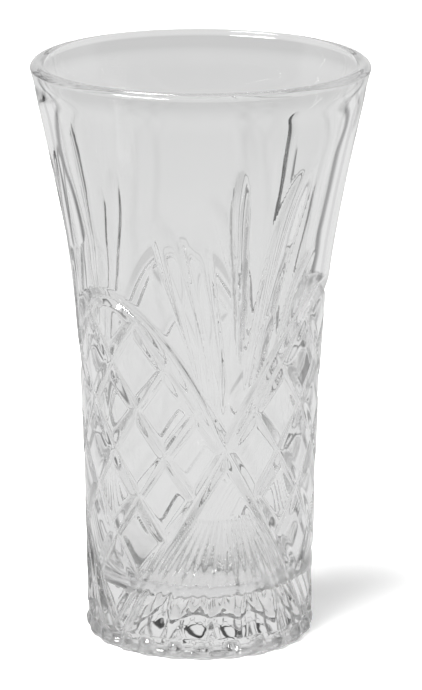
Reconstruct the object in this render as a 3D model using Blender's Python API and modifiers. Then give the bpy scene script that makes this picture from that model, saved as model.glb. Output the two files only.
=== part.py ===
"""A flared shot glass of pressed clear glass, modelled as the one piece that it is.

Metres, +Z up. The origin is the centre of the foot, on the surface that the glass stands on.
The body is a turned blank. Its pattern repeats three times round the barrel: a fan of blades
rises from a crossing of two arms, the arms arch over to the next crossings, and the pointed
fields between them carry a diamond lattice. Short flutes run down to the foot under each fan.
"""

import math

import bmesh
import bpy
from mathutils import Vector

# Blank
HEIGHT = 0.076
BARREL_RADIUS = 0.0150
BARREL_TOP = 0.012
BARREL_TAPER = 0.0225
FLARE_HEIGHT = 0.0474
FLARE_BLEND = 0.0066
FLARE_SLOPE = 0.197
WALL_BARREL = 0.0026
WALL_BLEND_START = 0.040
LIP_RADIUS = 0.00095
FLOOR_HEIGHT = 0.0070
FLOOR_CORNER = 0.0045
HEEL_RADIUS = 0.0009
RING_INNER_RADIUS = 0.0118
PUNT_DEPTH = 0.0007
TURNED_STEPS = 48

# Pattern, in angles round the glass and heights above the table
REPEATS = 3
FIRST_FAN = math.radians(12.8)
HALF_REPEAT = math.radians(60)
CROSSING_HEIGHT = 0.0281
ARCH_HEIGHT = 0.0476
ARM_FOOT_HEIGHT = 0.0012
LATTICE_HEIGHT = 0.0273
LATTICE_PITCH = 0.0116
LATTICE_SLOPE = LATTICE_PITCH * 2 / HALF_REPEAT

# Cuts: the radius of the wheel that made each, its depth, and the clearance at its ends
ARM_WHEEL, ARM_DEPTH = 0.0015, 0.00050
LATTICE_WHEEL, LATTICE_DEPTH = 0.0010, 0.00045
FLUTE_WHEEL, FLUTE_DEPTH = 0.0050, 0.00055
RUN_OUT = 0.00015

# Each blade of a fan: tip angle and height, foot angle and height, half width and depth.
# The angles are degrees from the crossing.
BLADES = (
    (2.6, 0.0659, 4.9, 0.0400, 0.00145, 0.00085),
    (30.5, 0.0654, 9.0, 0.0360, 0.00220, 0.00070),
    (41.0, 0.0535, 21.0, 0.0380, 0.00160, 0.00050),
    (20.5, 0.0465, 12.6, 0.0370, 0.00110, 0.00070),
    (-28.3, 0.0588, -9.0, 0.0345, 0.00210, 0.00070),
    (-14.5, 0.0570, -3.5, 0.0330, 0.00200, 0.00060),
    (-38.0, 0.0510, -21.0, 0.0395, 0.00150, 0.00050),
    (7.5, 0.0415, 3.2, 0.0315, 0.00120, 0.00050),
)
FLUTE_SPACING = math.radians(23)
FLUTE_TOP = 0.0190
FLUTE_END = 0.0027


def outer_radius(height):
    """Radius of the uncut outer wall: a nearly straight barrel that blends into a straight flare."""
    rise = max(height - BARREL_TOP, 0.0)
    flare = math.log1p(math.exp((height - FLARE_HEIGHT) / FLARE_BLEND))
    return BARREL_RADIUS + BARREL_TAPER * rise + FLARE_SLOPE * FLARE_BLEND * flare


def wall_thickness(height):
    """Full thickness in the barrel, easing to the thickness of the lip at the top."""
    share = (height - WALL_BLEND_START) / (HEIGHT - LIP_RADIUS - WALL_BLEND_START)
    share = min(max(share, 0.0), 1.0)
    return WALL_BARREL + (2 * LIP_RADIUS - WALL_BARREL) * share


def inner_radius(height):
    return outer_radius(height) - wall_thickness(height)


def arc(centre, radius, start, end, steps):
    """Points (radius, height) on an arc, with angles in degrees from the outward direction."""
    points = []
    for step in range(steps + 1):
        angle = math.radians(start + (end - start) * step / steps)
        points.append((centre[0] + radius * math.cos(angle), centre[1] + radius * math.sin(angle)))
    return points


def blank_profile():
    """Points (radius, height): up the bowl, over the lip, down the outer wall and under the foot."""
    corner_height = FLOOR_HEIGHT + FLOOR_CORNER
    corner = (inner_radius(corner_height) - FLOOR_CORNER, corner_height)
    bowl_heights = [0.024, 0.036, 0.045, 0.053, 0.061, 0.069]
    wall_heights = [0.070, 0.064, 0.058, 0.053, 0.048, 0.043, 0.037, 0.029, 0.020, 0.010]
    lip_height = HEIGHT - LIP_RADIUS
    lip = (outer_radius(lip_height) - LIP_RADIUS, lip_height)
    heel = (outer_radius(0) - HEEL_RADIUS, HEEL_RADIUS)

    points = [(0.0, FLOOR_HEIGHT)]
    points += arc(corner, FLOOR_CORNER, -90, 0, 4)
    points += [(inner_radius(height), height) for height in bowl_heights]
    points += arc(lip, LIP_RADIUS, 180, 0, 6)
    points += [(outer_radius(height), height) for height in wall_heights]
    points += arc(heel, HEEL_RADIUS, 0, -90, 2)
    points += [(RING_INNER_RADIUS, 0.0), (RING_INNER_RADIUS - PUNT_DEPTH, PUNT_DEPTH)]
    points.append((0.0, PUNT_DEPTH))
    return points


def turned(name, profile, collection):
    """A solid of revolution about Z, from a profile in the XZ plane."""
    mesh = bpy.data.meshes.new(name)
    vertices = [(radius, 0.0, height) for radius, height in profile]
    edges = [(index, index + 1) for index in range(len(profile) - 1)]
    mesh.from_pydata(vertices, edges, [])
    blank = bpy.data.objects.new(name, mesh)
    collection.objects.link(blank)
    screw = blank.modifiers.new("Turn", "SCREW")
    screw.axis = "Z"
    screw.steps = TURNED_STEPS
    screw.render_steps = TURNED_STEPS
    screw.use_merge_vertices = True
    screw.merge_threshold = 0.00001
    screw.use_smooth_shade = True
    return blank


def on_wall(angle, height, lift):
    """A point over the outer wall, at an angle from straight ahead (-Y) towards +X."""
    radius = outer_radius(height) + lift
    return Vector((radius * math.sin(angle), -radius * math.cos(angle), height))


def wheel_cut(name, route, wheel, sides, collection):
    """The path of a round-edged wheel: a tube along a route of (angle, height, depth)."""
    curve = bpy.data.curves.new(name, "CURVE")
    curve.dimensions = "3D"
    curve.bevel_depth = wheel
    curve.bevel_resolution = sides // 2 - 2
    curve.use_fill_caps = True
    spline = curve.splines.new("POLY")
    spline.points.add(len(route) - 1)
    for point, (angle, height, depth) in zip(spline.points, route):
        point.co = (*on_wall(angle, height, wheel - depth), 1.0)
    guide = bpy.data.objects.new(name, curve)
    collection.objects.link(guide)
    bpy.context.view_layer.update()

    graph = bpy.context.evaluated_depsgraph_get()
    mesh = bpy.data.meshes.new_from_object(guide.evaluated_get(graph))
    shape = bmesh.new()
    shape.from_mesh(mesh)
    bmesh.ops.remove_doubles(shape, verts=shape.verts, dist=0.00001)
    bmesh.ops.recalc_face_normals(shape, faces=shape.faces)
    shape.to_mesh(mesh)
    shape.free()
    cutter = bpy.data.objects.new(name + "_cutter", mesh)
    cutter.matrix_world = guide.matrix_world
    bpy.data.objects.remove(guide)
    collection.objects.link(cutter)
    cutter.hide_render = True
    cutter.display_type = "WIRE"
    return cutter


def arm_height(offset):
    """Height of an arm at an angle from its crossing: positive towards the arch, negative to the foot."""
    share = offset / HALF_REPEAT
    if share >= 0:
        return CROSSING_HEIGHT + (ARCH_HEIGHT - CROSSING_HEIGHT) * math.sin(share * math.pi / 2)
    return CROSSING_HEIGHT + (CROSSING_HEIGHT - ARM_FOOT_HEIGHT) * share


def arm_route(fan, side):
    """One arm, from under the middle of one arch, through a crossing, to the peak of the next arch.

    The arms that lean left are a hair shallower and end earlier, so no two cuts share an edge.
    """
    steps = 21 + side
    depth = ARM_DEPTH + 0.00001 * side
    reach = HALF_REPEAT * (1 + 0.01 * side)
    route = []
    for step in range(steps + 1):
        offset = reach * (2 * step / steps - 1)
        route.append((fan + side * offset, arm_height(offset), depth))
    return route


def lattice_route(field, side, row):
    """One straight line of the lattice, kept inside the pointed field between two arms."""
    margin = 0.0014
    steps = 60
    inside = []
    for step in range(steps + 1):
        offset = HALF_REPEAT * (2 * step / steps - 1)
        height = LATTICE_HEIGHT + row * LATTICE_PITCH + side * LATTICE_SLOPE * offset
        from_crossing = HALF_REPEAT - abs(offset)
        ceiling = arm_height(from_crossing) - margin
        floor = arm_height(-from_crossing) + margin
        if floor < height < ceiling:
            inside.append((field + offset, height, LATTICE_DEPTH))
    return inside[::5] + inside[-1:]


def blade_route(fan, tip, foot, depth):
    """A blade of the fan, from foot to tip: full depth along most of it, nothing at its ends."""
    steps = 9
    route = []
    for step in range(steps + 1):
        share = step / steps
        angle = math.radians(foot[0] + (tip[0] - foot[0]) * share)
        height = foot[1] + (tip[1] - foot[1]) * share
        fade = 1 - abs(2 * share - 1.0) ** 6
        route.append((fan + angle, height, depth * fade - RUN_OUT * (1 - fade)))
    return route


def flute_route(fan, position):
    """A flute under the fan, deepest just over the heel, which leans with the arms beside it."""
    steps = 4
    route = []
    for step in range(steps + 1):
        share = step / steps
        height = FLUTE_END + (FLUTE_TOP - FLUTE_END) * share
        angle = position * FLUTE_SPACING * (0.92 - 0.45 * share)
        route.append((fan + angle, height, FLUTE_DEPTH * (1 - share ** 2) - RUN_OUT * share))
    return route


def pattern_cuts(collection):
    for repeat in range(REPEATS):
        fan = FIRST_FAN + repeat * 2 * HALF_REPEAT
        field = fan - HALF_REPEAT
        for side in (-1, 1):
            wheel_cut(f"arm_{repeat}_{side}", arm_route(fan, side), ARM_WHEEL, 12, collection)
            for row in (-1, 0, 1):
                route = lattice_route(field, side, row)
                wheel_cut(f"lattice_{repeat}_{side}_{row}", route, LATTICE_WHEEL, 8, collection)
        for number, blade in enumerate(BLADES):
            tip, foot, half_width, depth = blade[:2], blade[2:4], blade[4], blade[5]
            wheel = (half_width ** 2 + depth ** 2) / (2 * depth)
            route = blade_route(fan, tip, foot, depth)
            wheel_cut(f"blade_{repeat}_{number}", route, wheel, 20, collection)
        for position in (-2, -1, 0, 1, 2):
            route = flute_route(fan, position)
            wheel_cut(f"flute_{repeat}_{position}", route, FLUTE_WHEEL, 28, collection)


def clear_glass():
    """Colourless pressed glass with fire-polished surfaces."""
    material = bpy.data.materials.new("clear_glass")
    material.use_nodes = True
    shader = material.node_tree.nodes["Principled BSDF"]
    shader.inputs["Base Color"].default_value = (0.97, 0.98, 0.98, 1.0)
    shader.inputs["Metallic"].default_value = 0.0
    shader.inputs["Roughness"].default_value = 0.02
    shader.inputs["IOR"].default_value = 1.52
    shader.inputs["Transmission Weight"].default_value = 1.0
    return material


def new_collection(name):
    collection = bpy.data.collections.new(name)
    bpy.context.scene.collection.children.link(collection)
    return collection


def clear_scene():
    for obj in list(bpy.data.objects):
        bpy.data.objects.remove(obj)


def build():
    clear_scene()
    glass_parts = new_collection("shot_glass")
    cutters = new_collection("cutters")
    cutters.hide_render = True
    pattern_cuts(cutters)

    body = turned("glass_body", blank_profile(), glass_parts)
    cut = body.modifiers.new("Pattern", "BOOLEAN")
    cut.operation = "DIFFERENCE"
    cut.solver = "EXACT"
    cut.operand_type = "COLLECTION"
    cut.collection = cutters
    weld = body.modifiers.new("Weld", "WELD")
    weld.merge_threshold = 0.00002
    body.data.materials.append(clear_glass())


build()
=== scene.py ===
"""The looks of the shot glass: its smooth fire-polished surface, its glass, the table and the light.

The frame's one node is replaced by a fine mesh of the same size. The outer wall is the turned
blank less the cuts of the mould, worked out in millimetres by the functions below.
"""

import math

import bmesh
import bpy
import numpy as np
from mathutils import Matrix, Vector


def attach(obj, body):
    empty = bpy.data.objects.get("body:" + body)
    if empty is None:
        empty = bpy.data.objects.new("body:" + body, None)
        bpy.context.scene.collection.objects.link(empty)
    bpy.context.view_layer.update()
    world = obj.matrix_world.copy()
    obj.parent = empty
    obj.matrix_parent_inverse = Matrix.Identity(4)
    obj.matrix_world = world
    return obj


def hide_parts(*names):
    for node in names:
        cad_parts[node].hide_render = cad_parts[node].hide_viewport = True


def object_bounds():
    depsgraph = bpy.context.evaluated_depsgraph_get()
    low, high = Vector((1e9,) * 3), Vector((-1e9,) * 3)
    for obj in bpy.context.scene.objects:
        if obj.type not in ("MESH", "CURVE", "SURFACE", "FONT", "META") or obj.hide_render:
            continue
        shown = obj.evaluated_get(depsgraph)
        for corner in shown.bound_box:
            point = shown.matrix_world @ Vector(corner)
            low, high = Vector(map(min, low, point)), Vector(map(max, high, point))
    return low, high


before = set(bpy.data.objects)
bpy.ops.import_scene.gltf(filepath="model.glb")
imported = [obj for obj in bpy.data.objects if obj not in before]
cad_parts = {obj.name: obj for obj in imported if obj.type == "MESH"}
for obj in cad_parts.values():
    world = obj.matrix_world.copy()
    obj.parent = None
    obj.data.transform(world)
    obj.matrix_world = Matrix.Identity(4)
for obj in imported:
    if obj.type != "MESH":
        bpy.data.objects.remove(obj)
cad_low, cad_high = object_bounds()

MM = 0.001
NODE = "glass_body"

# Blank, in millimetres, as in the CAD model
HEIGHT = (cad_high.z - cad_low.z) / MM
BARREL_RADIUS = 15.0
BARREL_TOP = 12.0
BARREL_TAPER = 0.0225
FLARE_HEIGHT = 47.4
FLARE_BLEND = 6.6
FLARE_SLOPE = 0.197
WALL_BARREL = 2.6
WALL_BLEND_START = 40.0
LIP_RADIUS = 0.95
FLOOR_HEIGHT = 7.0
FLOOR_CORNER = 4.5
HEEL_RADIUS = 0.9
RING_INSET = 0.6
RING_INNER_RADIUS = 11.8
RING_EDGE = 0.25
PUNT_DEPTH = 0.7
PUNT_STEP_WIDTH = 1.2
PUNT_STEP_SHARE = 0.6

# Pattern, in degrees and millimetres
REPEAT = 120.0
FIRST_FAN = 12.8
CROSSING_HEIGHT = 28.1
ARCH_HEIGHT = 47.6
ARM_FOOT_HEIGHT = 1.2
ARM_HALF_WIDTH = 1.2
ARM_DEPTH = 0.72
LATTICE_HEIGHT = 27.3
LATTICE_PITCH = 11.6
LATTICE_SLOPE = LATTICE_PITCH * 2 / (REPEAT / 2)
LATTICE_HALF_WIDTH = 0.95
LATTICE_DEPTH = 0.52
LATTICE_MARGIN = 1.2
VALLEY_ROUND = 0.18
PILLOW = 0.10
# blades of the fan: tip angle and height, foot angle and height, half width, depth, and flatness,
# which is the power of the curve across the blade
BLADES = (
    (2.6, 65.9, 4.9, 40.0, 1.50, 1.20, 2.0),
    (4.0, 57.5, 4.9, 42.0, 0.80, 1.38, 2.0),
    (30.5, 65.4, 9.0, 36.0, 2.20, 0.50, 2.0),
    (41.0, 53.5, 21.0, 38.0, 1.60, 0.40, 3.0),
    (20.5, 46.5, 12.6, 37.0, 1.10, 0.60, 2.0),
    (-28.3, 58.8, -9.0, 34.5, 2.10, 0.52, 3.0),
    (-14.5, 57.0, -3.5, 33.0, 2.00, 0.48, 3.0),
)
BLADE_FOOT_SHARE = 0.35
BLADE_SWELL = 0.7
BLADE_ENDS = 4
BLADE_SWAY = 0.7
BLADE_POLISH = 0.05
PRISM_APEX = 25.0
PRISM_FOOT = 6.5
PRISM_PITCH = 6.6
PRISM_DEPTH = 0.20
PRISM_LEAST_SPREAD = 0.02
PRISM_LEAST_WIDTH = 0.5
PRISM_ARM_FADE = 2.0
PRISM_FOOT_FADE = 3.0
FLUTES = (-2, -1, 0, 1, 2)
FLUTE_PITCH = 23.0
FLUTE_TOP = 19.0
FLUTE_END = 1.7
FLUTE_DEPTH = 0.55
FLUTE_ENDING = 1.2
FLUTE_RUNOUT = 7.0
FLUTE_HALF_SHARE = 0.46
FLUTE_NARROWING = 0.62
FLUTE_GATHERING = 0.55
HEEL_BEADS = 24
HEEL_BEAD_TURN = 1.7
HEEL_BEAD_HEIGHT = 1.25
HEEL_BEAD_RADIUS = 1.45
HEEL_BEAD_DEPTH = 0.75
HEEL_BEAD_FADE = 1.2
POLISH = 0.06
NECK_HEIGHT = 73.1
NECK_REACH = 1.3
NECK_DEPTH = 0.08
INNER_NECK_SHARE = 0.4

# Mesh
COARSENING = 4
ROUND_STEPS = 432
BOWL_STEPS = ROUND_STEPS // COARSENING
LIP_RINGS = 8
HEEL_RINGS = 5
PUNT_RINGS = 6
PUNT_RADII = (8.0, 5.0, 2.5, 1.0)
FLOOR_RADII = (1.0, 3.0, 5.5)
CORNER_RINGS = 16
BOWL_RINGS = 43
# (height at the lower end, rings) of the cut wall, from the lip down
WALL_RINGS = ((70.0, 12), (50.0, 34), (HEEL_RADIUS, 146))

# Glass
IOR = 1.52
WAVE_SCALE = 70.0
WAVE_DETAIL = 1.0
WAVE_DEPTH = 0.00025
CLOUD_SCALE = 140.0
CLOUD_DETAIL = 2.0
CLOUD_TINT = (0.975, 0.978, 0.976, 1)
SCUFF_SCALE = 900.0
SCUFF_DETAIL = 2.0
SCUFF_HEIGHT = 0.0006
SCUFF_ROUGHNESS = 0.35

# Studio, as the glass sees it: the world's light, and the table's painted glow of light and shade.
# Each list of greys is (place along its span, level) pairs: SIDE from the sweep's middle outwards,
# TABLE_FRONT and SKY_FRONT from the camera's side backwards, the painted contact shade from under
# the glass outwards, HEIGHTS from straight down to straight up.
SWEEP_GREY = 0.79
SIDE_SPREAD = 0.5
SIDE_END = 2.0
SIDE = (
    (0.0, 1.0), (0.44, 1.0), (0.49, 0.3), (0.52, 0.3), (0.56, 1.0),
    (0.68, 1.0), (0.73, 0.2), (0.79, 1.0), (1.0, 0.6),
)
# the table's painted glow, as the glass sees it: a grey sweep of studio light and shade, darker
# towards the camera and in bands to the sides
TABLE_HALF_WIDTH = 0.06
TABLE_SPAN = (-0.5, 0.5)
TABLE_FRONT = ((0.0, 0.1), (0.2, 0.4), (0.45, 0.85), (0.56, 1.0), (0.72, 1.0), (0.95, 0.82))
# painted shade: the table, as the glass sees it, is darker in a ring close round the foot, where the
# glass would shade it
PAINTED_SHADE_REACH = 0.06
PAINTED_CONTACT_SHADE = ((0.0, 0.95), (0.2, 0.95), (0.25, 0.80), (0.32, 0.95), (0.6, 1.0))
SKY_HALF_WIDTH = 0.1
SKY_SPAN = (-0.4, 0.1)
SKY_FRONT = ((0.0, 0.10), (0.45, 0.18), (0.7, 1.0))
HEIGHTS = (
    (0.0, 1.0), (0.638, 1.0), (0.648, 0.03), (0.67, 0.03),
    (0.68, 1.0), (0.84, 0.9), (0.9, 0.15), (1.0, 0.1),
)

# The table as the camera sees it
TABLE_REACH = 3.0
TABLE_DROP = 0.00005
TABLE_WHITE = (0.9, 0.9, 0.9, 1)
TABLE_GLOW = 0.36

# each light: name, width and height, power, place, whether it lights the table, is mirrored by the
# glass and shines through it
LIGHTS = (
    ("overhead", (0.13, 0.13), 1.4, (-0.145, 0.231, 0.676), False, True, True),
    ("key", (0.55, 0.55), 20.0, (-0.27, -0.24, 0.74), True, False, False),
    ("strip", (0.40, 0.16), 6.0, (-0.385, -0.429, 0.387), False, True, False),
)
LIGHT_AIM = Vector((0, 0, 0.03))

# Camera, in metres and degrees
CAMERA_PLACE = (0, -0.555, 0.188)
CAMERA_PITCH = 15.1
CAMERA_ROLL = -0.14
CAMERA_YAW = -0.109
CAMERA_LENS = 230.4
SENSOR_WIDTH = 36.0
CLIP_START = 0.01
BOUNCES = 32


def neck(height):
    """How far the wall draws in on each side, just under the fire-polished bead of the lip."""
    return NECK_DEPTH * np.exp(-((height - NECK_HEIGHT) / NECK_REACH) ** 2)


def outer_radius(height):
    """Radius of the uncut outer wall: a nearly straight barrel that blends into a straight flare."""
    rise = np.maximum(height - BARREL_TOP, 0.0)
    flare = np.logaddexp(0.0, (height - FLARE_HEIGHT) / FLARE_BLEND)
    return BARREL_RADIUS + BARREL_TAPER * rise + FLARE_SLOPE * FLARE_BLEND * flare


def inner_radius(height):
    """Radius of the bowl: the wall thins out towards the lip."""
    share = (height - WALL_BLEND_START) / (HEIGHT - LIP_RADIUS - WALL_BLEND_START)
    share = np.clip(share, 0.0, 1.0)
    return outer_radius(height) - (WALL_BARREL + (2 * LIP_RADIUS - WALL_BARREL) * share)


def soft_maximum(stack, softness):
    """The largest value of the stack, with a rounded corner where two values are near."""
    top = stack.max(axis=0)
    return top + softness * np.log(np.exp((stack - top) / softness).sum(axis=0))


def valley(distance, half_width, depth):
    """Depth of a V-shaped cut with a slightly rounded bottom: negative outside it."""
    rise = np.sqrt(distance ** 2 + VALLEY_ROUND ** 2) - VALLEY_ROUND
    reach = math.sqrt(half_width ** 2 + VALLEY_ROUND ** 2) - VALLEY_ROUND
    return depth * (1.0 - rise / reach)


def arm_height(offset):
    """Height of an arm, offset degrees from its crossing: positive towards the arch."""
    share = offset / (REPEAT / 2)
    climb = np.sin(np.clip(share, 0, 1) * math.pi / 2)
    up = CROSSING_HEIGHT + (ARCH_HEIGHT - CROSSING_HEIGHT) * climb
    down = CROSSING_HEIGHT + (CROSSING_HEIGHT - ARM_FOOT_HEIGHT) * share
    return np.where(share >= 0, up, down)


def arm_cuts(fan, height, mm_per_degree):
    """The two arms, which mirror each other at the crossing."""
    cuts = []
    for side in (-1, 1):
        offset = side * fan
        slope = (arm_height(offset + 0.5) - arm_height(offset - 0.5)) / mm_per_degree
        distance = (height - arm_height(offset)) / np.sqrt(1 + slope ** 2)
        cuts.append(valley(distance, ARM_HALF_WIDTH, ARM_DEPTH))
    return cuts


def lattice_cuts(field, height):
    """The two rows of slanting grooves and the slight pillow of the diamonds between them."""
    from_crossing = REPEAT / 2 - np.abs(field)
    ceiling = arm_height(from_crossing) - height
    floor = height - arm_height(-from_crossing)
    inside = np.clip(np.minimum(ceiling, floor) / LATTICE_MARGIN, -1, 1)
    lean = 1 / math.sqrt(1 + (LATTICE_SLOPE / (BARREL_RADIUS * math.pi / 180)) ** 2)
    cuts, pillow = [], 0.0
    for side in (-1, 1):
        row = (height - LATTICE_HEIGHT - side * LATTICE_SLOPE * field) / LATTICE_PITCH
        share = np.abs(row - np.round(row))
        groove = valley(share * LATTICE_PITCH * lean, LATTICE_HALF_WIDTH, LATTICE_DEPTH)
        cuts.append(np.minimum(groove, LATTICE_DEPTH * inside))
        pillow = pillow + PILLOW * (1 - 2 * share) ** 2
    cuts.append(pillow * np.clip(inside, 0, 1))
    return cuts


def blade_cuts(fan, height, mm_per_degree):
    """Long scoops that spread from the crossing and are narrow at the foot, joined by soft edges."""
    cuts = []
    for tip_angle, tip_height, foot_angle, foot_height, half_width, depth, flatness in BLADES:
        share = (height - foot_height) / (tip_height - foot_height)
        along = np.clip(share, 0, 1)
        sway = BLADE_SWAY * np.sin(2 * math.pi * along)
        centre = foot_angle + (tip_angle - foot_angle) * along + sway
        half = half_width * (BLADE_FOOT_SHARE + (1 - BLADE_FOOT_SHARE) * along ** BLADE_SWELL)
        across = (fan - centre) * mm_per_degree / half
        cuts.append(depth * (1 - np.abs(across) ** flatness - (2 * share - 1) ** BLADE_ENDS))
    return [soft_maximum(np.stack(cuts), BLADE_POLISH)]


def flute_cuts(fan, height, mm_per_degree):
    """The flutes that run from under the crossing to the heel."""
    cuts = []
    share = np.clip(height / FLUTE_TOP, 0, 1)
    half = FLUTE_PITCH * FLUTE_HALF_SHARE * (1 - FLUTE_NARROWING * share) * mm_per_degree
    runout = np.clip((FLUTE_TOP - height) / FLUTE_RUNOUT, 0, 1)
    ending = np.clip((height - FLUTE_END) / FLUTE_ENDING, 0, 1)
    for position in FLUTES:
        centre = position * FLUTE_PITCH * (1 - FLUTE_GATHERING * share)
        across = (fan - centre) * mm_per_degree / half
        groove = FLUTE_DEPTH * runout * ending * (1 - across ** 2)
        cuts.append(np.where((height < FLUTE_TOP) & (height > FLUTE_END), groove, -1))
    return cuts


def prism_cut(fan, height, mm_per_degree):
    """The fine prisms that spread under the crossing, over the flutes."""
    spread = np.clip((PRISM_APEX - height) / (PRISM_APEX - PRISM_FOOT), PRISM_LEAST_SPREAD, 1)
    wave = 0.5 + 0.5 * np.cos(2 * math.pi * fan / (PRISM_PITCH * spread))
    width = PRISM_PITCH * spread * mm_per_degree
    under_arms = np.clip((arm_height(-np.abs(fan)) - height) / PRISM_ARM_FADE, 0, 1)
    above_foot = np.clip((height - PRISM_FOOT) / PRISM_FOOT_FADE, 0, 1)
    wide_enough = np.clip(width / PRISM_LEAST_WIDTH - 1, 0, 1)
    return PRISM_DEPTH * wave * under_arms * above_foot * wide_enough


def heel_cut(angle, height, mm_per_degree):
    """The ground between the round beads above the heel: the flutes end in it."""
    pitch = 360.0 / HEEL_BEADS
    offset = (angle - HEEL_BEAD_TURN + pitch / 2) % pitch - pitch / 2
    across = offset * mm_per_degree / HEEL_BEAD_RADIUS
    up = (height - HEEL_BEAD_HEIGHT) / HEEL_BEAD_RADIUS
    bead = np.clip(1 - across ** 2 - up ** 2, 0, 1)
    above = np.clip((FLUTE_END + FLUTE_ENDING - height) / FLUTE_ENDING, 0, 1)
    below = np.clip(height / HEEL_BEAD_FADE, 0, 1)
    return HEEL_BEAD_DEPTH * (1 - bead) * above * below


def relief(angle, height):
    """Depth of the mould's cuts at an angle in degrees and a height in millimetres."""
    mm_per_degree = outer_radius(height) * math.pi / 180
    # degrees from the nearest crossing, and from the middle of the nearest field of diamonds
    fan = (angle - FIRST_FAN + REPEAT / 2) % REPEAT - REPEAT / 2
    field = (angle - FIRST_FAN) % REPEAT - REPEAT / 2
    cuts = arm_cuts(fan, height, mm_per_degree)
    cuts += lattice_cuts(field, height)
    cuts += blade_cuts(fan, height, mm_per_degree)
    cuts += flute_cuts(fan, height, mm_per_degree)
    # the deepest cut wins, with a soft corner between cuts and at their edges
    uncut = np.zeros_like(height)
    deepest = soft_maximum(np.stack(cuts + [uncut]), POLISH)
    fine = prism_cut(fan, height, mm_per_degree) + heel_cut(angle, height, mm_per_degree)
    return deepest + fine + neck(height)


def round_points(radius, angle, height):
    """Points at these angles, which are counted from the camera's side towards +X."""
    turn = np.radians(angle)
    heights = np.broadcast_to(height, turn.shape)
    return np.stack([radius * np.sin(turn), -radius * np.cos(turn), heights], axis=-1)


def wall_points(angle, height):
    """Points of the cut outer wall, in millimetres."""
    return round_points(outer_radius(height) - relief(angle, height), angle, height)


def wall_normals(angle, height):
    """The wall's normals at the same points, from its slope over a hundredth of a unit each way."""
    step = 0.01
    along = wall_points(angle + step, height) - wall_points(angle - step, height)
    up = wall_points(angle, height + step) - wall_points(angle, height - step)
    normal = np.cross(along, up)
    return normal / np.linalg.norm(normal, axis=1, keepdims=True)


def outside_rings():
    """Rings of points from the top of the lip to the bottom of the heel, and the wall's normals."""
    angles = np.arange(ROUND_STEPS) * 360.0 / ROUND_STEPS
    lip_height = HEIGHT - LIP_RADIUS
    lip_centre = float(outer_radius(lip_height)) - LIP_RADIUS
    rings, normals = [], []
    for step in range(LIP_RINGS):
        bend = math.pi / 2 * (1 - step / LIP_RINGS)
        radius = lip_centre + LIP_RADIUS * math.cos(bend)
        rings.append(round_points(radius, angles, lip_height + LIP_RADIUS * math.sin(bend)))
    top = lip_height
    for low, count in WALL_RINGS:
        last = low == HEEL_RADIUS
        for height in np.linspace(top, low, count, endpoint=last):
            heights = np.full_like(angles, height)
            rings.append(wall_points(angles, heights))
            normals.append(wall_normals(angles, heights))
        top = low
    # the heel: its cuts fade out as it turns under
    depth = relief(angles, np.full_like(angles, HEEL_RADIUS))
    for step in range(1, HEEL_RINGS + 1):
        bend = math.pi / 2 * step / HEEL_RINGS
        uncut = BARREL_RADIUS - HEEL_RADIUS * (1 - math.cos(bend))
        radius = uncut - depth * (1 - step / HEEL_RINGS)
        rings.append(round_points(radius, angles, HEEL_RADIUS * (1 - math.sin(bend))))
    return rings, normals


def underside_profile():
    """(radius, height) from the standing ring to the middle of the shallow hollow."""
    rim = RING_INNER_RADIUS + RING_EDGE
    hollow = rim - PUNT_STEP_WIDTH
    profile = [(BARREL_RADIUS - HEEL_RADIUS - RING_INSET, 0.0), (rim, 0.0)]
    for step in range(1, PUNT_RINGS + 1):
        share = step / PUNT_RINGS
        ease = share * share * (3 - 2 * share)
        profile.append((rim - PUNT_STEP_WIDTH * share, PUNT_DEPTH * PUNT_STEP_SHARE * ease))
    for radius in PUNT_RADII:
        dome = 1 - (1 - PUNT_STEP_SHARE) * (radius / hollow) ** 2
        profile.append((radius, PUNT_DEPTH * dome))
    return profile


def bowl_profile():
    """(radius, height) from near the middle of the bowl's floor up to the inside of the lip."""
    profile = [(radius, FLOOR_HEIGHT) for radius in FLOOR_RADII]
    corner_height = FLOOR_HEIGHT + FLOOR_CORNER
    corner_radius = float(inner_radius(corner_height)) - FLOOR_CORNER
    for step in range(CORNER_RINGS + 1):
        bend = math.pi / 2 * step / CORNER_RINGS
        radius = corner_radius + FLOOR_CORNER * math.sin(bend)
        profile.append((radius, corner_height - FLOOR_CORNER * math.cos(bend)))
    lip_height = HEIGHT - LIP_RADIUS
    lip_centre = float(outer_radius(lip_height)) - LIP_RADIUS
    for height in np.linspace(corner_height, lip_height, BOWL_RINGS + 1)[1:]:
        radius = inner_radius(height) + INNER_NECK_SHARE * neck(height)
        profile.append((float(radius), float(height)))
    for step in range(1, LIP_RINGS):
        bend = math.pi * (1 - step / (2 * LIP_RINGS))
        radius = lip_centre + LIP_RADIUS * math.cos(bend)
        profile.append((radius, lip_height + LIP_RADIUS * math.sin(bend)))
    return profile


def coarse_ring(shape, radius, height):
    """A plain ring of the underside or the bowl, which need fewer points than the cut wall."""
    points = round_points(radius, np.arange(BOWL_STEPS) * 360.0 / BOWL_STEPS, height)
    return [shape.verts.new(point * MM) for point in points]


def join_rings(shape, first, second):
    """A band of four-sided faces between two rings of as many points."""
    count = len(first)
    for i in range(count):
        j = (i + 1) % count
        shape.faces.new([first[i], second[i], second[j], first[j]])


def join_fine_to_coarse(shape, fine, coarse):
    """One ring of many points meets one of a quarter as many."""
    for i in range(BOWL_STEPS):
        edge = [fine[(COARSENING * i + k) % ROUND_STEPS] for k in range(COARSENING + 1)]
        shape.faces.new([coarse[i]] + edge + [coarse[(i + 1) % BOWL_STEPS]])


def close_ring(shape, ring, height):
    """A fan of triangles from a ring to a point on the axis."""
    centre = shape.verts.new((0, 0, height * MM))
    for i, vertex in enumerate(ring):
        shape.faces.new([vertex, centre, ring[(i + 1) % len(ring)]])


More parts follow.
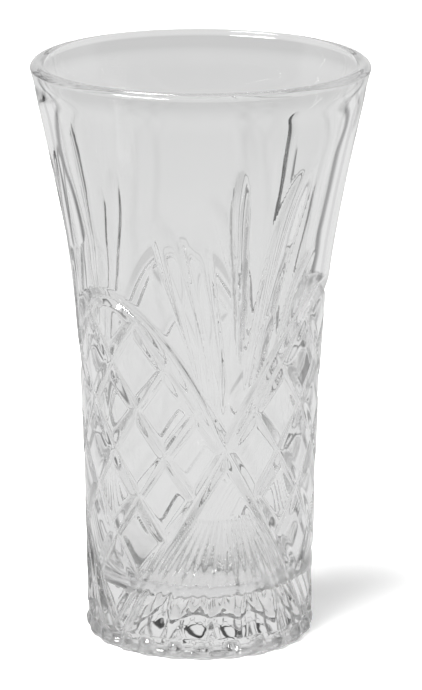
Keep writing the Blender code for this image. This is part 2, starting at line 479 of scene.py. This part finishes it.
def glass_mesh():
    """The whole glass as one closed mesh."""
    rings, normals = outside_rings()
    shape = bmesh.new()
    outside = [[shape.verts.new(point * MM) for point in ring] for ring in rings]
    for first, second in zip(outside, outside[1:]):
        join_rings(shape, first, second)
    under = [coarse_ring(shape, radius, height) for radius, height in underside_profile()]
    join_fine_to_coarse(shape, outside[-1], under[0])
    for first, second in zip(under, under[1:]):
        join_rings(shape, first, second)
    close_ring(shape, under[-1], PUNT_DEPTH)
    bowl = [coarse_ring(shape, radius, height) for radius, height in bowl_profile()]
    close_ring(shape, bowl[0], FLOOR_HEIGHT)
    for first, second in zip(bowl, bowl[1:]):
        join_rings(shape, first, second)
    join_fine_to_coarse(shape, outside[0], bowl[-1])
    bmesh.ops.recalc_face_normals(shape, faces=shape.faces)
    mesh = bpy.data.meshes.new("pressed_glass")
    shape.to_mesh(mesh)
    shape.free()
    # the wall takes the exact normals of the relief, and the rest keeps its smooth ones
    mesh.shade_smooth()
    smooth = np.empty(len(mesh.vertices) * 3, np.float32)
    mesh.vertex_normals.foreach_get("vector", smooth)
    smooth = smooth.reshape(-1, 3)
    wall = np.concatenate(normals)
    start = LIP_RINGS * ROUND_STEPS
    smooth[start:start + len(wall)] = wall
    mesh.normals_split_custom_set_from_vertices(smooth.tolist())
    return mesh


def set_stops(ramp, stops):
    """Greys of a colour ramp: (position, level) pairs."""
    elements = ramp.color_ramp.elements
    while len(elements) < len(stops):
        elements.new(1.0)
    for element, (position, level) in zip(elements, stops):
        element.position = position
        element.color = (level, level, level, 1)


def greys(nodes, links, source, stops):
    """The source, from 0 to 1, turned into greys."""
    ramp = nodes.new("ShaderNodeValToRGB")
    set_stops(ramp, stops)
    links.new(source, ramp.inputs["Fac"])
    return ramp.outputs["Color"]


def scaled(nodes, links, source, low, high):
    """The source as a number from 0 at low to 1 at high."""
    spread = nodes.new("ShaderNodeMapRange")
    spread.inputs["From Min"].default_value = low
    spread.inputs["From Max"].default_value = high
    links.new(source, spread.inputs["Value"])
    return spread.outputs["Result"]


def number(nodes, links, operation, *values):
    """A Math node on plain numbers and on the outputs of other nodes."""
    node = nodes.new("ShaderNodeMath")
    node.operation = operation
    for index, value in enumerate(values):
        if isinstance(value, float):
            node.inputs[index].default_value = value
        else:
            links.new(value, node.inputs[index])
    return node.outputs[0]


def noise(nodes, links, place, scale, detail):
    """Soft random greys."""
    node = nodes.new("ShaderNodeTexNoise")
    node.inputs["Scale"].default_value = scale
    node.inputs["Detail"].default_value = detail
    links.new(place, node.inputs["Vector"])
    return node.outputs["Fac"]


def waviness(nodes, links, place):
    """The faint waviness of pressed and fire-polished glass."""
    bump = nodes.new("ShaderNodeBump")
    bump.inputs["Strength"].default_value = 1.0
    bump.inputs["Distance"].default_value = WAVE_DEPTH
    links.new(noise(nodes, links, place, WAVE_SCALE, WAVE_DETAIL), bump.inputs["Height"])
    return bump.outputs["Normal"]


def batch_tint(nodes, links, place):
    """A trace of grey in the batch, in soft clouds."""
    tint = nodes.new("ShaderNodeValToRGB")
    tint.color_ramp.elements[0].color = CLOUD_TINT
    links.new(noise(nodes, links, place, CLOUD_SCALE, CLOUD_DETAIL), tint.inputs["Fac"])
    return tint.outputs["Color"]


def scuffing(nodes, links, place):
    """Roughness: only the standing ring is scuffed, where it touches the table."""
    split = nodes.new("ShaderNodeSeparateXYZ")
    links.new(place, split.inputs[0])
    low = scaled(nodes, links, split.outputs["Z"], SCUFF_HEIGHT, 0.0)
    patches = noise(nodes, links, place, SCUFF_SCALE, SCUFF_DETAIL)
    scuffed = number(nodes, links, "MULTIPLY", low, patches)
    return number(nodes, links, "MULTIPLY", scuffed, SCUFF_ROUGHNESS)


def clear_glass():
    """Colourless glass, clear all through and glossy all over."""
    material = bpy.data.materials.new("clear_pressed_glass")
    material.use_nodes = True
    nodes = material.node_tree.nodes
    links = material.node_tree.links
    shader = nodes["Principled BSDF"]
    shader.inputs["IOR"].default_value = IOR
    shader.inputs["Transmission Weight"].default_value = 1.0
    place = nodes.new("ShaderNodeTexCoord").outputs["Object"]
    links.new(waviness(nodes, links, place), shader.inputs["Normal"])
    links.new(batch_tint(nodes, links, place), shader.inputs["Base Color"])
    links.new(scuffing(nodes, links, place), shader.inputs["Roughness"])
    return material


def sweep(nodes, links, x, y, half_width, span, front):
    """A light strip straight behind the glass that falls off to the sides and towards the camera."""
    behind = number(nodes, links, "MAXIMUM", y, 0.0)
    width = number(nodes, links, "MULTIPLY_ADD", behind, SIDE_SPREAD, half_width)
    aside = number(nodes, links, "ABSOLUTE", x)
    share = number(nodes, links, "DIVIDE", aside, width)
    across = greys(nodes, links, scaled(nodes, links, share, 0.0, SIDE_END), SIDE)
    along = greys(nodes, links, scaled(nodes, links, y, *span), front)
    both = number(nodes, links, "MULTIPLY", across, along)
    return number(nodes, links, "MULTIPLY", both, SWEEP_GREY)


def table_seen_by_camera(nodes, links):
    """White and lit, with a little glow that takes it to the white of the background."""
    white = nodes.new("ShaderNodeBsdfDiffuse")
    white.inputs["Color"].default_value = TABLE_WHITE
    glow = nodes.new("ShaderNodeEmission")
    glow.inputs["Strength"].default_value = TABLE_GLOW
    lit = nodes.new("ShaderNodeAddShader")
    links.new(white.outputs[0], lit.inputs[0])
    links.new(glow.outputs[0], lit.inputs[1])
    return lit.outputs[0]


def table_seen_by_glass(nodes, links):
    """Painted light for the rays through the glass: the table glows with a grey sweep of studio
    light and shade, and painted shade makes it a little darker in a ring close round the foot.
    """
    place = nodes.new("ShaderNodeNewGeometry").outputs["Position"]
    split = nodes.new("ShaderNodeSeparateXYZ")
    links.new(place, split.inputs[0])
    x, y = split.outputs["X"], split.outputs["Y"]
    level = sweep(nodes, links, x, y, TABLE_HALF_WIDTH, TABLE_SPAN, TABLE_FRONT)
    distance = nodes.new("ShaderNodeVectorMath")
    distance.operation = "LENGTH"
    links.new(place, distance.inputs[0])
    outwards = scaled(nodes, links, distance.outputs["Value"], 0.0, PAINTED_SHADE_REACH)
    # painted shade: darker in a ring close round the foot
    painted_contact_shade = greys(nodes, links, outwards, PAINTED_CONTACT_SHADE)
    # the table glows, though it is no lamp: painted light and shade for the rays through the glass
    grey = nodes.new("ShaderNodeEmission")
    links.new(number(nodes, links, "MULTIPLY", level, painted_contact_shade), grey.inputs["Strength"])
    return grey.outputs[0]


def table_surface():
    """One look for the camera and another for the rays that reach the table through the glass."""
    material = bpy.data.materials.new("table_white")
    material.use_nodes = True
    nodes = material.node_tree.nodes
    links = material.node_tree.links
    nodes.clear()
    path = nodes.new("ShaderNodeLightPath")
    mix = nodes.new("ShaderNodeMixShader")
    out = nodes.new("ShaderNodeOutputMaterial")
    links.new(path.outputs["Is Camera Ray"], mix.inputs["Fac"])
    links.new(table_seen_by_glass(nodes, links), mix.inputs[1])
    links.new(table_seen_by_camera(nodes, links), mix.inputs[2])
    links.new(mix.outputs[0], out.inputs["Surface"])
    return material


def table():
    """A plain white table that fills the view, just under the glass; through the glass it shows a
    painted glow of light and shade.
    """
    mesh = bpy.data.meshes.new("table")
    sides = ((-1, -1), (1, -1), (1, 1), (-1, 1))
    corners = [(TABLE_REACH * x, TABLE_REACH * y, 0) for x, y in sides]
    mesh.from_pydata(corners, [], [(0, 1, 2, 3)])
    mesh.materials.append(table_surface())
    top = bpy.data.objects.new("table", mesh)
    bpy.context.scene.collection.objects.link(top)
    top.location.z = -TABLE_DROP


def studio():
    """The studio round the table: the sweep goes on up behind it, and it is dark overhead."""
    world = bpy.data.worlds.new("studio")
    bpy.context.scene.world = world
    world.use_nodes = True
    nodes = world.node_tree.nodes
    links = world.node_tree.links
    way = nodes.new("ShaderNodeTexCoord")
    split = nodes.new("ShaderNodeSeparateXYZ")
    links.new(way.outputs["Generated"], split.inputs[0])
    x, y, z = split.outputs["X"], split.outputs["Y"], split.outputs["Z"]
    level = sweep(nodes, links, x, y, SKY_HALF_WIDTH, SKY_SPAN, SKY_FRONT)
    height = greys(nodes, links, scaled(nodes, links, z, -1.0, 1.0), HEIGHTS)
    background = nodes["Background"]
    background.inputs["Color"].default_value = (1, 1, 1, 1)
    links.new(number(nodes, links, "MULTIPLY", level, height), background.inputs["Strength"])


def lights():
    """Soft area lights, each kept to its own job by the rays that can see it."""
    for name, size, power, place, on_table, mirrored, shines_through in LIGHTS:
        data = bpy.data.lights.new(name, "AREA")
        data.shape = "RECTANGLE"
        data.size, data.size_y = size
        data.energy = power
        lamp = bpy.data.objects.new(name, data)
        lamp.location = place
        lamp.visible_diffuse = on_table
        lamp.visible_glossy = mirrored
        lamp.visible_transmission = shines_through
        aim = LIGHT_AIM - Vector(place)
        lamp.rotation_euler = aim.to_track_quat("-Z", "Y").to_euler()
        bpy.context.scene.collection.objects.link(lamp)


def camera():
    """A long lens that looks down on the glass from the front."""
    data = bpy.data.cameras.new("camera")
    data.sensor_width = SENSOR_WIDTH
    data.lens = CAMERA_LENS
    data.clip_start = CLIP_START
    view = bpy.data.objects.new("camera", data)
    view.location = CAMERA_PLACE
    turn = (90 - CAMERA_PITCH, CAMERA_ROLL, CAMERA_YAW)
    view.rotation_euler = [math.radians(angle) for angle in turn]
    bpy.context.scene.collection.objects.link(view)
    bpy.context.scene.camera = view


def look():
    """Plain tones, and enough bounces for light to find its way out of the thick glass."""
    scene = bpy.context.scene
    scene.view_settings.view_transform = "Standard"
    scene.cycles.max_bounces = BOUNCES
    scene.cycles.glossy_bounces = BOUNCES
    scene.cycles.transmission_bounces = BOUNCES


glass = bpy.data.objects.new("pressed_glass", glass_mesh())
bpy.context.scene.collection.objects.link(glass)
glass.data.materials.append(clear_glass())
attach(glass, "root")
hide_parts(NODE)

table()
studio()
lights()
camera()
look()
